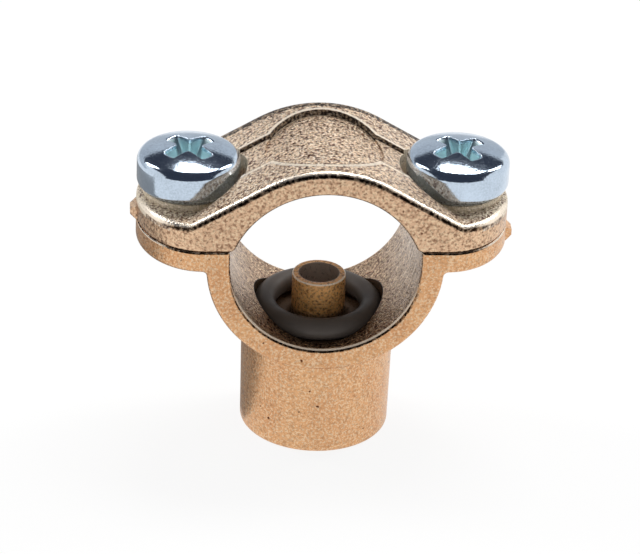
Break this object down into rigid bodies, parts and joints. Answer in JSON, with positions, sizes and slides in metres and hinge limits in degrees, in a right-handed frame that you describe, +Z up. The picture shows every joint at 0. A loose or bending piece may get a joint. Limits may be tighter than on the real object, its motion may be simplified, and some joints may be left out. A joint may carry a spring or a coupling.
{
  "type": "pipe tapping saddle clamp",
  "caption": "Cast brass saddle clamp that screws round a pipe and taps it through a sealed spigot into a threaded outlet boss.",
  "frame": {"origin": "centre of the outlet boss's end face, on which the clamp stands", "axes": "+Z up through the outlet and spigot, +X from ear to ear, Y along the pipe"},
  "size_m": [0.0446, 0.0186, 0.0374],
  "materials": {
    "cast_brass": "tumbled sand casting",
    "seal_rubber": "smooth moulded",
    "zinc_plated_steel": "bright blue zinc"
  },
  "bodies": {
    "saddle": {"saddle_body": "cast_brass", "o_ring": "seal_rubber"},
    "strap": {"strap": "cast_brass"},
    "screw_left": {"screw_left": "zinc_plated_steel"},
    "screw_right": {"screw_right": "zinc_plated_steel"}
  },
  "joints": [
    {"name": "strap_lift", "type": "slide", "parent": "saddle", "child": "strap", "axis": [0, 0, 1], "range_m": [0, 0.006]},
    {"name": "screw_left_turn", "type": "hinge", "parent": "strap", "child": "screw_left", "pos_m": [-0.0156, 0, 0.0311], "axis": [0, 0, 1], "range_deg": [0, 2160]},
    {"name": "screw_right_turn", "type": "hinge", "parent": "strap", "child": "screw_right", "pos_m": [0.0156, 0, 0.0311], "axis": [0, 0, 1], "range_deg": [0, 2160]}
  ],
  "couplings": [
    {"joint": "screw_left_turn", "follows": "strap_lift", "rad_per_m": 6283.2},
    {"joint": "screw_right_turn", "follows": "strap_lift", "rad_per_m": 6283.2}
  ]
}
